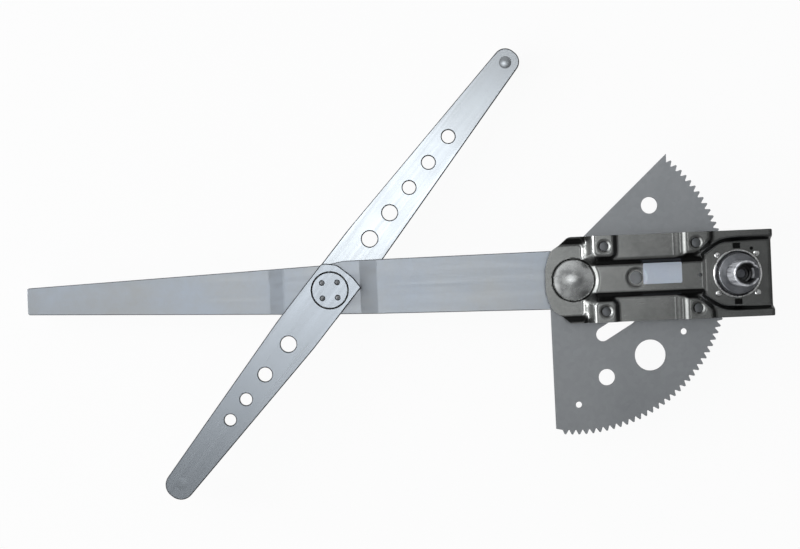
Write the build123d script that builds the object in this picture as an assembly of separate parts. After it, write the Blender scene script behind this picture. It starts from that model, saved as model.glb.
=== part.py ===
from build123d import *
import os
from math import acos, atan2, cos, pi, radians, sin, sqrt, tan

# Gears: a toothed sector driven by a small pinion
gear_module = 1.75
full_circle_teeth = 138
pinion_teeth = 9
pressure_angle = 28.0
sector_addendum = 1.5
pinion_addendum = 1.55
tooth_dedendum = 2.1
backlash = 0.16
sector_teeth_below = 37
sector_teeth_above = 19
flank_steps = 3

# Sheet thicknesses
base_sheet = 2.0
sector_sheet = 2.5
arm_sheet = 2.5
equalizer_sheet = 2.5
bracket_sheet = 2.0
drum_sheet = 1.2

# Fits and gaps
fit_gap = 0.05
stack_gap = 0.1
ring_gap = 0.25
collar_gap = 1.2
socket_gap = 0.5
tooth_root_gap = 0.6
pinion_side_gap = 0.5
disc_gap = 0.4
spring_gap = 0.35
leg_gap = 2.0
step_gap = 0.4
cut_margin = 10.0

# Four-bolt pattern in the base plate
bolt_spacing_x = 72.0
bolt_spacing_y = 51.0
bolt_hole_radius = 3.5

# Heights of the base plate's top faces below the mounting face
lip_depth = 5.0
valley_depth = 10.0
strip_depth = 12.0
floor_depth = 11.0
ring_depth = 14.0
head_recess_depth = 1.6

# Base plate outline, seen from the crank side
wall_lean = 24.0
base_width = 68.0
pivot_to_left_end = 22.2
spindle_to_right_end = 27.4
left_end_half = 9.0
left_end_corners = ((-17.2, 23.6), (-10.0, 28.2))
full_width_start = -4.0
left_end_rounds = [9, 5, 4, 2]
right_end_round = 1.5
floor_width = 52.0
strip_width = 22.4
ring_pad_width = 57.0
ring_pad_right = 7.4
ring_pad_round = 3.5
ring_wall_radius = 17.8
valley_start = 8.8
valley_width = 2.2
left_pad_length = 16.4
right_pad_reach = 11.0
pad_inner_offset = 17.4
left_pad_offset = 8.8
left_pad_round = 4.0
right_pad_cut = (10.0, 8.0)
right_pad_draft = 1.0
right_pad_round = 7.0
ramp_start = 79.7
ramp_length = 2.4
ramp_step_height = 2.0
ramp_top_start = 84.1
pad_top_start = 87.6
flare_start = 98.0
flare_end = 114.6
flare_round = 14.0
dish_radius = 8.0
dish_depth = 1.2
dish_hole_radius = 5.0
pivot_to_dish = 49.2
locating_hole_radius = 1.5
pivot_to_locating_hole = 99.6
small_hole_radius = 1.4
small_hole_angle = 59.0
small_hole_offset = 22.6
notch_width = 6.0
notch_length = 4.4
notch_offset = 22.0

# Main pivot
pivot_to_bolts = 59.4
pivot_shank_radius = 8.0
pivot_head_radius = 15.5
pivot_head_edge = 1.2
pivot_dome_height = 3.4
recess_clearance = 1.1
washer_radius = 14.0
washer_thickness = 1.0
tail_washer_thickness = 0.8
pivot_tail_radius = 11.0
pivot_tail_height = 1.8

# Sector, measured from the main pivot
low_end_angle = -98.8
low_end_radius = 118.5
top_end_angle = 51.3
top_end_radius = 124.2
sector_waist = 18.7
sector_waist_height = -26.4
sector_notch_point = (9.9, 34.4)
sector_crest = (0.0, 30.0)
sector_back_height = 14.0
sector_holes = (
    (62.7, 56.8, 6.6),
    (58.7, -61.8, 12.3),
    (23.6, -77.9, 6.5),
    (86.0, -44.2, 2.5),
    (0.6, -98.8, 2.5),
)
sector_slot_start = (22.0, -43.9)
sector_slot_angle = 30.6
sector_slot_length = 24.0
sector_slot_radius = 5.5

# Lift arm
pivot_to_centre = 193.0
centre_to_lift_roller = 229.3
lift_end_reach = 12.5
arm_pivot_width = 46.0
arm_centre_width = 43.5
arm_neck_width = 39.0
arm_tip_width = 21.4
arm_tip_round = 2.0
arm_edge_round = 20.0
arm_pivot_round = 12.0
arm_tail_round = 14.0
arm_tail_cut = 8.0
centre_to_neck = 4.0
centre_to_shoulder = 11.0
lower_shoulder_shift = 24.0
lower_neck_shift = 30.0
lower_neck_round = 60.0
joggle_round = 6.0
arm_tail_reach = 30.0
front_step_start = 24.0
front_step_length = 14.0
front_step_height = 2.8
rear_step_start = 36.5
rear_step_length = 12.0
rear_step_height = 3.5
rivet_circle = 21.5
rivet_angles = (40.0, 140.0, 220.0, 320.0)
rivet_shank_radius = 2.5
rivet_head_radius = 3.2
rivet_head_height = 1.2
rivet_head_slope = 0.8
rivet_tail_height = 0.8

# Equalizer arm
equalizer_angle = 50.1
equalizer_width = 36.5
upper_tip_width = 20.5
lower_tip_width = 22.6
upper_end_radius = 11.0
lower_end_radius = 12.9
half_overlap = 19.5
half_end_bow = 2.5
half_end_bulge = 8.0
half_end_cut = 4.0
half_end_round = 10.0
corner_round = 1.5
taper_start = 45.0
taper_round = 60.0
tip_flat = 1.2
upper_holes = ((51.7, 6.2), (78.0, 6.0), (103.4, 5.15), (128.7, 5.15), (154.7, 5.15))
lower_holes = ((53.8, 6.2), (84.2, 5.5), (109.0, 4.7), (129.6, 4.5))

# Centre pivot
hub_disc_radius = 14.2
hub_journal_radius = 9.0
hub_tenon_radius = 7.0
hub_tail_radius = 9.0
hub_tail_height = 1.0
bush_flange_radius = 15.0
bush_flange = 1.0
bush_wall = 1.4
stake_radius = 1.9
stake_depth = 0.5
stake_offset = 8.6

# Rollers at the three arm ends
roller_radius = 9.0
roller_width = 8.0
roller_pin_radius = 4.0
roller_shoulder_radius = 6.5
roller_shoulder = 0.8
roller_head_radius = 6.5
roller_head_height = 1.6
roller_edge_bevel = 1.0
roller_recess_depth = 0.8
roller_recess_wall = 2.0

# Crank socket, brake drum and pinion
drum_radius = 16.1
drum_rise = 8.0
drum_flange_radius = 24.4
drum_edge_round = 1.6
collar_wall = 1.2
collar_height = 1.6
drum_rivet_circle = 21.8
drum_rivet_radius = 1.6
drum_rivet_head_radius = 2.2
drum_rivet_head_height = 0.9
socket_radius = 9.9
socket_bore_radius = 7.6
socket_bore_length = 20.0
socket_height = 22.0
socket_slot_width = 8.0
socket_slot_length = 18.0
socket_notch_width = 2.2
socket_notch_depth = 4.0
socket_notch_angle = 45.0
socket_well_radius = 6.2
socket_well_depth = 4.0
socket_edge_round = 0.6
clutch_disc_thickness = 1.6
clutch_disc_radius = 13.2
clutch_lug_inner = 10.2
clutch_lug_outer = 12.8
clutch_lug_half_angle = 64.0
crank_shaft_radius = 3.9
shaft_top_stand = 3.0
pinion_width = 5.0
pinion_hub_radius = 6.0
spring_wire = 1.1
spring_pitch = 1.5
spring_turns = 4
bracket_foot_length = 12.0
bracket_foot_width = 42.0
bracket_plate_width = 26.0
bearing_wall = 1.8
bearing_flange = 0.8
bearing_flange_radius = 7.6
circlip_thickness = 1.0
circlip_radius = 6.2
circlip_opening = 4.5
shaft_end_stand = 0.8

# Places and levels that follow from the sizes above; z = 0 is the mounting face
pitch_angle = 360 / full_circle_teeth
pivot_x = -pivot_to_bolts
centre_distance = gear_module * (full_circle_teeth + pinion_teeth) / 2
spindle_x = pivot_x + centre_distance
sector_pitch_radius = gear_module * full_circle_teeth / 2
pinion_pitch_radius = gear_module * pinion_teeth / 2
centre_x = pivot_x - pivot_to_centre
lift_roller_x = centre_x - centre_to_lift_roller

# Each half of the equalizer arm is as long as the stretch of lift arm that it mirrors
centre_to_upper_roller = centre_to_lift_roller
centre_to_lower_roller = pivot_to_centre

recess_top = -ring_depth - head_recess_depth
recess_bottom = recess_top - base_sheet
sector_top = recess_bottom - washer_thickness - stack_gap
sector_bottom = sector_top - sector_sheet
pivot_part_bottom = sector_bottom - arm_sheet
centre_part_top = sector_bottom - front_step_height
centre_part_bottom = centre_part_top - arm_sheet
tip_part_top = centre_part_top - rear_step_height
tip_part_bottom = tip_part_top - arm_sheet
front_half_bottom = centre_part_top + bush_flange
front_half_top = front_half_bottom + equalizer_sheet
rear_half_top = centre_part_bottom - bush_flange
rear_half_bottom = rear_half_top - equalizer_sheet
pinion_top = (sector_top + sector_bottom + pinion_width) / 2
pinion_bottom = pinion_top - pinion_width
floor_top = -floor_depth
floor_bottom = floor_top - base_sheet
drum_top = floor_top + drum_rise
drum_inner_top = drum_top - drum_sheet
flange_bottom = floor_bottom - drum_sheet
bracket_top = pinion_bottom - pinion_side_gap - bearing_flange
bracket_bottom = bracket_top - bracket_sheet
clutch_disc_top = drum_inner_top - disc_gap
clutch_disc_bottom = clutch_disc_top - clutch_disc_thickness
driven_disc_bottom = flange_bottom + stack_gap
driven_disc_top = driven_disc_bottom + clutch_disc_thickness
socket_bore_bottom = socket_height - socket_bore_length
socket_well_bottom = socket_bore_bottom - socket_well_depth

# The thickness that a leaning wall needs sideways so that the sheet stays even
wall_shift = base_sheet * (1 - sin(radians(wall_lean))) / cos(radians(wall_lean))

# The small step between strip and floor lies just clear of the drum's flange
pivot_to_step = centre_distance - drum_flange_radius - wall_shift - step_gap


def face_of(points, corner_radii=0):
    """Face inside a closed outline with rounded corners."""
    return make_face(FilletPolyline(*points, radius=corner_radii, close=True))


def mirrored(points):
    """Points of the upper half, followed by their mirror images in the X axis."""
    return list(points) + [(x, -y) for x, y in reversed(points)]


def plate_between(face, bottom, top):
    return extrude(Pos(0, 0, bottom) * face, amount=top - bottom)


def disc(radius, bottom, top, x=0.0, y=0.0):
    return Pos(x, y, bottom) * extrude(Circle(radius), amount=top - bottom)


def ring(outer, inner, bottom, top, x=0.0, y=0.0):
    return Pos(x, y, bottom) * extrude(Circle(outer) - Circle(inner), amount=top - bottom)


def cone(low_radius, high_radius, bottom, height):
    base = (Align.CENTER, Align.CENTER, Align.MIN)
    return Pos(0, 0, bottom) * Cone(low_radius, high_radius, height, align=base)


def arc_lug(inner, outer, half_angle, bottom, top, direction):
    """Curved wall between two radii, centred on the origin."""
    reach = 2 * outer
    edge = (reach * cos(radians(half_angle)), reach * sin(radians(half_angle)))
    far_corners = (reach, reach), (reach, -reach)
    wedge = make_face(Polyline((0, 0), edge, *far_corners, (edge[0], -edge[1]), close=True))
    lug = extrude((Circle(outer) - Circle(inner)) & wedge, amount=top - bottom)
    return Pos(0, 0, bottom) * Rot(0, 0, direction) * lug


def save(shape, name):
    export_step(shape, f"parts/{name}.step")


# Base plate: the body under its top surface less the body under its bottom surface
def ring_pad_region():
    """Flat of the pivot pad; its right side is an arc about the pivot."""
    half = ring_pad_width / 2
    upper = [(-2 * pivot_to_left_end, half), (ring_pad_right, half)]
    straight = face_of(mirrored(upper), [0, ring_pad_round, ring_pad_round, 0])
    return straight + Circle(ring_wall_radius)


def pocket(face, depth, shift, drop):
    """Recess with leaning walls: face is its floor, and it opens upwards."""
    grown = offset(face, shift, kind=Kind.INTERSECTION) if shift else face
    height = depth + 2 * drop
    return extrude(Pos(0, 0, -depth - drop) * grown, amount=height, taper=-wall_lean)


def raised_pad(face, shift, drop):
    """Boss with leaning walls: face is its flat top, and it widens downwards."""
    shrunk = offset(face, -shift, kind=Kind.INTERSECTION) if shift else face
    return extrude(Pos(0, 0, -drop) * shrunk, amount=-ring_depth - 1, taper=-wall_lean)


def strip_region():
    half = strip_width / 2
    start = ring_wall_radius - 6
    return face_of([(start, -half), (pivot_to_step, -half), (pivot_to_step, half), (start, half)])


def floor_region():
    """Floor round the crank; its edges flare out from those of the strip."""
    reach = centre_distance + 2 * spindle_to_right_end
    half = floor_width / 2
    neck = strip_width / 2
    upper = [(flare_start - flare_round, neck), (flare_start, neck), (flare_end, half), (reach, half)]
    return face_of(mirrored(upper), [0, flare_round, flare_round, 0, 0, flare_round, flare_round, 0])


def valley_region(side):
    outer = side * base_width
    inner = side * (strip_width / 2 - 2)
    right = valley_start + valley_width
    return face_of([(valley_start, inner), (right, inner), (right, outer), (valley_start, outer)])


def left_pad_region(side):
    left = pivot_to_bolts - bolt_spacing_x / 2 - left_pad_offset
    inner = side * pad_inner_offset
    outer = side * base_width
    right = left + left_pad_length
    return face_of([(left, inner), (right, inner), (right, outer), (left, outer)],
                   [left_pad_round, left_pad_round, 0, 0])


def right_pad_region(side):
    """Pad with a corner that follows the flare of the floor; the ramp cuts its left end."""
    left = ramp_start - 8
    right = pivot_to_bolts + bolt_spacing_x / 2 + right_pad_reach
    inner = side * pad_inner_offset
    outer = side * base_width
    cut_length, cut_width = right_pad_cut
    draft_x = right - right_pad_draft
    points = [
        (left, inner), (draft_x - cut_length, inner), (draft_x, inner + side * cut_width),
        (right, outer), (left, outer),
    ]
    return face_of(points, [0, right_pad_round, right_pad_round, 0, 0])


def ramp_block(drop):
    """Side profile of the two slopes that lead up to the right-hand pads."""
    lean = drop * tan(atan2(ramp_step_height, ramp_length) / 2)
    top = [
        (ramp_start, -lip_depth), (ramp_start + ramp_length, ramp_step_height - lip_depth),
        (ramp_top_start, ramp_step_height - lip_depth), (pad_top_start, 0), (centre_distance, 0),
    ]
    top = [(ramp_start - 2 * cut_margin, -lip_depth - drop)] + [(x + lean, z - drop) for x, z in top]
    bottom = 1 - ring_depth - cut_margin
    profile = Polyline(*top, (top[-1][0], bottom), (top[0][0], bottom), close=True)
    return extrude(make_face(Plane.XZ * profile), amount=1.5 * base_width, both=True)


def surface_body(shift, drop):
    """Everything below the plate's top surface, or below its bottom surface."""
    reach = centre_distance + 2 * spindle_to_right_end
    slab_bottom = -ring_depth - cut_margin
    slab_height = -lip_depth - drop - slab_bottom
    on_bottom = (Align.CENTER, Align.CENTER, Align.MIN)
    slab = Pos(reach / 2 - pivot_to_left_end, 0, slab_bottom) * Box(
        reach, 1.5 * base_width, slab_height, align=on_bottom
    )
    slab -= pocket(ring_pad_region(), ring_depth, shift, drop)
    slab -= pocket(strip_region(), strip_depth, shift, drop)
    slab -= pocket(floor_region(), floor_depth, shift, drop)
    for side in (1, -1):
        slab -= pocket(valley_region(side), valley_depth, shift, drop)
    limits = Pos(reach / 2 - pivot_to_left_end, 0, slab_bottom + 1) * Box(
        reach, 1.5 * base_width, -slab_bottom, align=on_bottom
    )
    for side in (1, -1):
        slab += raised_pad(left_pad_region(side), shift, drop) & limits
        slab += raised_pad(right_pad_region(side), shift, drop) & limits & ramp_block(drop)
    return slab


def base_outline():
    right = centre_distance + spindle_to_right_end
    half = base_width / 2
    left = (-pivot_to_left_end, left_end_half)
    upper = [left, *left_end_corners, (full_width_start, half), (right, half)]
    points = mirrored(upper)
    rounds = left_end_rounds + [right_end_round]
    return face_of(points, rounds + rounds[::-1])


def base_plate():
    top = surface_body(0, 0)
    under = surface_body(wall_shift, base_sheet)
    plate = (top - under) & plate_between(base_outline(), 2 - ring_depth - cut_margin, 1)
    recess_radius = pivot_head_radius + recess_clearance
    plate += disc(recess_radius + wall_shift, recess_bottom, -ring_depth)
    plate -= disc(recess_radius, recess_top, -ring_depth + 1)
    plate -= disc(pivot_shank_radius + fit_gap, recess_bottom - 1, recess_top + 1)
    strip_top = -strip_depth
    dish_bottom = strip_top - dish_depth
    plate += disc(dish_radius + wall_shift, dish_bottom - base_sheet, strip_top, pivot_to_dish)
    plate -= Pos(pivot_to_dish, 0, 0) * cone(dish_radius - dish_depth, dish_radius, dish_bottom, dish_depth)
    plate -= disc(dish_radius, strip_top, strip_top + 1, pivot_to_dish)
    plate -= disc(dish_hole_radius, strip_top - 8, strip_top, pivot_to_dish)
    plate -= disc(locating_hole_radius, strip_top - 4, strip_top + 2, pivot_to_locating_hole)
    for side in (1, -1):
        for along in (-1, 1):
            x = pivot_to_bolts + along * bolt_spacing_x / 2
            y = side * bolt_spacing_y / 2
            plate -= disc(bolt_hole_radius, -2 * base_sheet, 1, x, y)
    collar_inner = drum_radius + collar_gap
    collar_outer = collar_inner + collar_wall
    plate += ring(collar_outer, collar_inner, floor_top, floor_top + collar_height, centre_distance)
    plate -= disc(collar_inner, floor_bottom - 2, floor_top, centre_distance)
    for side in (1, -1):
        plate -= Pos(centre_distance, side * notch_offset, floor_bottom) * Box(
            notch_width, notch_length, 3 * base_sheet
        )
        for along in (-1, 1):
            x, y = rivet_spot(along, side)
            plate -= disc(drum_rivet_radius, floor_bottom - 1, floor_top + 1, centre_distance + x, y)
    hole_x = centre_distance + small_hole_offset * cos(radians(small_hole_angle))
    hole_y = small_hole_offset * sin(radians(small_hole_angle))
    plate -= disc(small_hole_radius, floor_bottom - 1, floor_top + 1, hole_x, hole_y)
    return Pos(pivot_x, 0, 0) * plate


def rivet_spot(along, side):
    reach = drum_rivet_circle / sqrt(2)
    return along * reach, side * reach


# Main pivot
def pivot_pin():
    """Domed head in the recess, a shank and a peened tail."""
    head_bottom = recess_top
    edge_top = head_bottom + pivot_head_edge
    rise = pivot_dome_height
    dome_radius = (pivot_head_radius**2 + rise**2) / (2 * rise)
    half_way = pivot_head_radius / 2
    mid_height = edge_top + sqrt(dome_radius**2 - half_way**2) - (dome_radius - rise)
    tail_top = pivot_part_bottom - stack_gap - tail_washer_thickness - stack_gap
    tail_bottom = tail_top - pivot_tail_height
    outline = Line((0, tail_bottom), (pivot_tail_radius - 0.8, tail_bottom))
    outline += Line((pivot_tail_radius - 0.8, tail_bottom), (pivot_tail_radius, tail_top))
    outline += Polyline(
        (pivot_tail_radius, tail_top), (pivot_shank_radius, tail_top), (pivot_shank_radius, head_bottom),
        (pivot_head_radius, head_bottom), (pivot_head_radius, edge_top),
    )
    outline += ThreePointArc((pivot_head_radius, edge_top), (half_way, mid_height), (0, edge_top + rise))
    outline += Line((0, edge_top + rise), (0, tail_bottom))
    half_section = make_face(Plane.XZ * outline)
    return Pos(pivot_x, 0, 0) * revolve(half_section, axis=Axis.Z)


def pivot_washers():
    hole = pivot_shank_radius + fit_gap
    front = ring(washer_radius, hole, sector_top + stack_gap / 2, recess_bottom - stack_gap / 2, pivot_x)
    tail_top = pivot_part_bottom - stack_gap / 2
    rear = ring(washer_radius, hole, tail_top - tail_washer_thickness, tail_top, pivot_x)
    return front, rear


# Gear teeth
def involute_angle(angle):
    return tan(angle) - angle


def flank_points(teeth, pitch_radius, low_radius, high_radius):
    """Half tooth angle against radius for an involute flank, from root to tip."""
    working = radians(pressure_angle)
    base_radius = pitch_radius * cos(working)
    half_at_pitch = pi / (2 * teeth) - backlash / 4 / pitch_radius
    start = max(low_radius, base_radius)
    radii = [start + (high_radius - start) * step / flank_steps for step in range(flank_steps + 1)]
    if low_radius < start:
        radii.insert(0, low_radius)
    flank = []
    for radius in radii:
        local = acos(min(1.0, base_radius / max(radius, base_radius)))
        half = half_at_pitch + involute_angle(working) - involute_angle(local)
        flank.append((radius, half))
    return flank


def polar(radius, angle):
    return (radius * cos(angle), radius * sin(angle))


def sector_gear():
    """Sector with a toothed rim; its straight edges meet at the pivot end."""
    root = sector_pitch_radius - tooth_dedendum + tooth_root_gap / 2
    tip = sector_pitch_radius + sector_addendum
    flank = flank_points(full_circle_teeth, sector_pitch_radius, root, tip)
    rim = []
    for tooth in range(-sector_teeth_below, sector_teeth_above):
        middle = radians((tooth + 0.5) * pitch_angle)
        rim += [polar(radius, middle - half) for radius, half in flank]
        rim += [polar(radius, middle + half) for radius, half in reversed(flank)]
        rim.append(polar(root - tooth_root_gap / 2, middle + radians(pitch_angle / 2)))
    rim.pop()
    low_corner = polar(low_end_radius, radians(low_end_angle))
    top_corner = polar(top_end_radius, radians(top_end_angle))
    waist = (-sector_waist, sector_waist_height)
    pivot_end = sector_notch_point, sector_crest, (-sector_waist, sector_back_height), waist
    face = make_face(Polyline(low_corner, *rim, top_corner, *pivot_end, close=True))
    for x, y, radius in sector_holes:
        face -= Pos(x, y) * Circle(radius)
    turn = radians(sector_slot_angle)
    slot_x = sector_slot_start[0] + sector_slot_length / 2 * cos(turn)
    slot_y = sector_slot_start[1] + sector_slot_length / 2 * sin(turn)
    face -= Pos(slot_x, slot_y) * Rot(0, 0, sector_slot_angle) * SlotCenterToCenter(
        sector_slot_length, 2 * sector_slot_radius
    )
    face -= Circle(pivot_shank_radius + fit_gap)
    for angle in rivet_angles:
        face -= Pos(*polar(rivet_circle, radians(angle))) * Circle(rivet_shank_radius)
    return Pos(pivot_x, 0, 0) * plate_between(face, sector_bottom, sector_top)


def pinion():
    """Nine teeth on a hub that reaches up into the drum with the driven lug."""
    root = pinion_pitch_radius - sector_addendum - tooth_root_gap / 2
    tip = pinion_pitch_radius + pinion_addendum
    flank = flank_points(pinion_teeth, pinion_pitch_radius, root, tip)
    rim = []
    for tooth in range(pinion_teeth):
        middle = pi + 2 * pi * tooth / pinion_teeth
        rim += [polar(radius, middle - half) for radius, half in flank]
        rim += [polar(radius, middle + half) for radius, half in reversed(flank)]
    toothed = plate_between(make_face(Polyline(*rim, close=True)), pinion_bottom, pinion_top)
    toothed += disc(pinion_hub_radius, pinion_top, clutch_disc_bottom - disc_gap)
    toothed += disc(clutch_disc_radius, driven_disc_bottom, driven_disc_top)
    toothed += arc_lug(
        clutch_lug_inner, clutch_lug_outer, clutch_lug_half_angle,
        driven_disc_top, clutch_disc_bottom - disc_gap, 180,
    )
    toothed -= disc(crank_shaft_radius + fit_gap, pinion_bottom - 1, 0)
    return Pos(spindle_x, 0, 0) * toothed


# Lift arm
def arm_outline():
    """Plan of the lift arm, measured from the pivot; the roller end is to the left."""
    tip_x = -(pivot_to_centre + centre_to_lift_roller + lift_end_reach)
    neck_x = -(pivot_to_centre + centre_to_neck)
    shoulder_x = -(pivot_to_centre - centre_to_shoulder)
    half_pivot = arm_pivot_width / 2
    half_centre = arm_centre_width / 2
    half_neck = arm_neck_width / 2
    half_tip = arm_tip_width / 2
    upper = [
        (tip_x, half_tip + 0.8), (neck_x, half_neck + 0.6), (shoulder_x, half_centre + 1.2),
        (0, half_pivot + 1), (arm_tail_reach, half_pivot - arm_tail_cut),
    ]
    lower = [
        (arm_tail_reach, -half_pivot + arm_tail_cut), (0, -half_pivot),
        (shoulder_x + lower_shoulder_shift, -half_centre + 1.6),
        (neck_x - lower_neck_shift, -half_neck + 1.4), (tip_x, -half_tip + 0.8),
    ]
    upper_rounds = [arm_tip_round, arm_edge_round, arm_edge_round, arm_pivot_round, arm_tail_round]
    lower_rounds = [arm_tail_round, arm_pivot_round, arm_edge_round, lower_neck_round, arm_tip_round]
    return face_of(upper + lower, upper_rounds + lower_rounds)


def lift_arm():
    """Flat strip with two joggles, cut to the plan outline."""
    front_step = -pivot_to_centre + front_step_start
    rear_step = -pivot_to_centre - rear_step_start
    ends = (arm_tail_reach + 10, -pivot_to_centre - centre_to_lift_roller - 2 * lift_end_reach)
    top_line = [
        (ends[0], sector_bottom),
        (front_step + front_step_length, sector_bottom),
        (front_step, centre_part_top),
        (rear_step, centre_part_top),
        (rear_step - rear_step_length, tip_part_top),
        (ends[1], tip_part_top),
    ]
    front_lean = joggle_shift(front_step_length, front_step_height)
    rear_lean = joggle_shift(rear_step_length, rear_step_height)
    leans = [0, front_lean, front_lean, rear_lean, rear_lean, 0]
    bottom_line = [(x + lean, z - arm_sheet) for (x, z), lean in zip(top_line, leans)]
    outline = FilletPolyline(*top_line, *reversed(bottom_line), radius=side_rounds(), close=True)
    side = make_face(Plane.XZ * outline)
    strip = extrude(side, amount=arm_pivot_width, both=True)
    arm = strip & plate_between(arm_outline(), tip_part_bottom - 1, sector_bottom + 1)
    arm -= disc(pivot_shank_radius + fit_gap, pivot_part_bottom - 1, sector_bottom + 1)
    bush_radius = hub_journal_radius + fit_gap + bush_wall
    arm -= disc(bush_radius, centre_part_bottom - 1, centre_part_top + 1, -pivot_to_centre)
    roller_x = -pivot_to_centre - centre_to_lift_roller
    arm -= disc(roller_pin_radius, tip_part_bottom - 1, tip_part_top + 1, roller_x)
    for angle in rivet_angles:
        x, y = polar(rivet_circle, radians(angle))
        arm -= disc(rivet_shank_radius, pivot_part_bottom - 1, sector_bottom + 1, x, y)
    return Pos(pivot_x, 0, 0) * arm


def joggle_shift(length, height):
    """Sideways shift of the lower bend corners that keeps the sheet even on the slope."""
    return arm_sheet * tan(atan2(height, length) / 2)


def side_rounds():
    inner, outer = joggle_round, joggle_round + arm_sheet
    return [0, outer, inner, outer, inner, 0, 0, outer, inner, outer, inner, 0]


def sector_rivets():
    """Four flush-tailed rivets through sector and arm."""
    rivets = []
    for angle in rivet_angles:
        x, y = polar(rivet_circle, radians(angle))
        shank = disc(rivet_shank_radius, pivot_part_bottom, sector_top, pivot_x + x, y)
        crown = rivet_head_radius - rivet_head_slope
        head = Pos(pivot_x + x, y, 0) * cone(rivet_head_radius, crown, sector_top, rivet_head_height)
        tail_bottom = pivot_part_bottom - rivet_tail_height
        tail = disc(rivet_head_radius, tail_bottom, pivot_part_bottom, pivot_x + x, y)
        rivets.append(shank + head + tail)
    return Compound(children=rivets)


# Equalizer arm and centre pivot
def half_outline(reach, tip_width, end_radius, square_side):
    """Plan of one half along +X from the centre pivot."""
    half_width = equalizer_width / 2
    half_tip = tip_width / 2
    corner = half_overlap - half_end_bow
    end = reach + end_radius
    bulge = square_side * half_end_bulge
    edge = square_side * half_width
    tip = square_side * half_tip
    points = [
        (-corner, edge), (-half_overlap, bulge), (-half_overlap, -bulge), (-corner + half_end_cut, -edge),
        (taper_start, -edge), (end, -tip), (end, tip), (taper_start, edge),
    ]
    tip_round = half_tip - tip_flat / 2
    end_rounds = [corner_round, half_end_round, half_end_round, half_end_cut]
    return face_of(points, end_rounds + [taper_round, tip_round, tip_round, taper_round])


def place_on_equalizer(shape, turn):
    return Pos(centre_x, 0, 0) * Rot(0, 0, turn) * shape


def equalizer_front_half():
    face = half_outline(centre_to_lower_roller, lower_tip_width, lower_end_radius, 1)
    for distance, radius in lower_holes:
        face -= Pos(distance, 0) * Circle(radius)
    face -= Circle(hub_disc_radius + ring_gap)
    face -= Pos(centre_to_lower_roller, 0) * Circle(roller_pin_radius)
    half = plate_between(face, front_half_bottom, front_half_top)
    return place_on_equalizer(half, equalizer_angle + 180)


def equalizer_rear_half():
    face = half_outline(centre_to_upper_roller, upper_tip_width, upper_end_radius, -1)
    for distance, radius in upper_holes:
        face -= Pos(distance, 0) * Circle(radius)
    face -= Circle(hub_tenon_radius)
    face -= Pos(centre_to_upper_roller, 0) * Circle(roller_pin_radius)
    half = plate_between(face, rear_half_bottom, rear_half_top)
    return place_on_equalizer(half, equalizer_angle)


def centre_hub():
    """Staked disc in front, journal in the lift arm, tenon riveted behind the rear half."""
    hub = disc(hub_disc_radius, front_half_bottom, front_half_top)
    hub += disc(hub_journal_radius, rear_half_top, front_half_bottom)
    hub += disc(hub_tenon_radius, rear_half_bottom, rear_half_top)
    hub += disc(hub_tail_radius, rear_half_bottom - hub_tail_height, rear_half_bottom)
    for quarter in range(4):
        x, y = polar(stake_offset, radians(equalizer_angle + 90 * quarter - 5))
        hub -= disc(stake_radius, front_half_top - stake_depth, front_half_top + 1, x, y)
    return Pos(centre_x, 0, 0) * hub


def centre_bushes():
    """Two flanged bushes meet half way through the lift arm."""
    inner = hub_journal_radius + fit_gap
    middle = (centre_part_top + centre_part_bottom) / 2
    gap = stack_gap / 2
    front = ring(bush_flange_radius, inner, centre_part_top, front_half_bottom - gap, centre_x)
    front += ring(inner + bush_wall, inner, middle + gap, centre_part_top, centre_x)
    rear = ring(bush_flange_radius, inner, rear_half_top + gap, centre_part_bottom, centre_x)
    rear += ring(inner + bush_wall, inner, centre_part_bottom, middle - gap, centre_x)
    return front, rear


# Rollers
def roller_and_pin(x, y, sheet_top, sheet_bottom):
    """Shouldered pin riveted into an arm end, and the roller that turns on it."""
    shoulder_bottom = sheet_bottom - roller_shoulder
    roller_top = shoulder_bottom - stack_gap
    roller_bottom = roller_top - roller_width
    head_top = roller_bottom - stack_gap
    pin = disc(roller_pin_radius, head_top, sheet_top, x, y)
    pin += disc(roller_shoulder_radius, shoulder_bottom, sheet_bottom, x, y)
    head = disc(roller_head_radius, head_top - roller_head_height, head_top, x, y)
    pin += chamfer(head.edges().group_by(Axis.Z)[0], roller_head_height / 2)
    body = disc(roller_radius, roller_bottom, roller_top)
    body = chamfer(body.edges(), roller_edge_bevel)
    groove_outer = roller_radius - roller_recess_wall
    groove_inner = roller_shoulder_radius + 0.1
    body -= ring(groove_outer, groove_inner, roller_top - roller_recess_depth, roller_top)
    body -= ring(groove_outer, groove_inner, roller_bottom, roller_bottom + roller_recess_depth)
    body -= disc(roller_pin_radius + fit_gap, roller_bottom - 1, roller_top + 1)
    return Pos(x, y, 0) * body, pin


def arm_end(reach, turn):
    return centre_x + reach * cos(radians(turn)), reach * sin(radians(turn))


# Crank side
def brake_drum():
    """Drawn cup whose flange is riveted behind the floor of the base plate."""
    corner = drum_flange_radius
    flange = disc(corner, flange_bottom, floor_bottom)
    cup = disc(drum_radius, floor_bottom, drum_top)
    cup = fillet(cup.edges().group_by(Axis.Z)[-1], drum_edge_round)
    drum = flange + cup
    drum -= disc(drum_radius - drum_sheet, flange_bottom - 1, drum_inner_top)
    drum -= disc(socket_radius + socket_gap, drum_inner_top - 1, drum_top + 1)
    for side in (1, -1):
        for along in (-1, 1):
            x, y = rivet_spot(along, side)
            drum -= disc(drum_rivet_radius, flange_bottom - 1, floor_bottom + 1, x, y)
    return Pos(spindle_x, 0, 0) * drum


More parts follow.
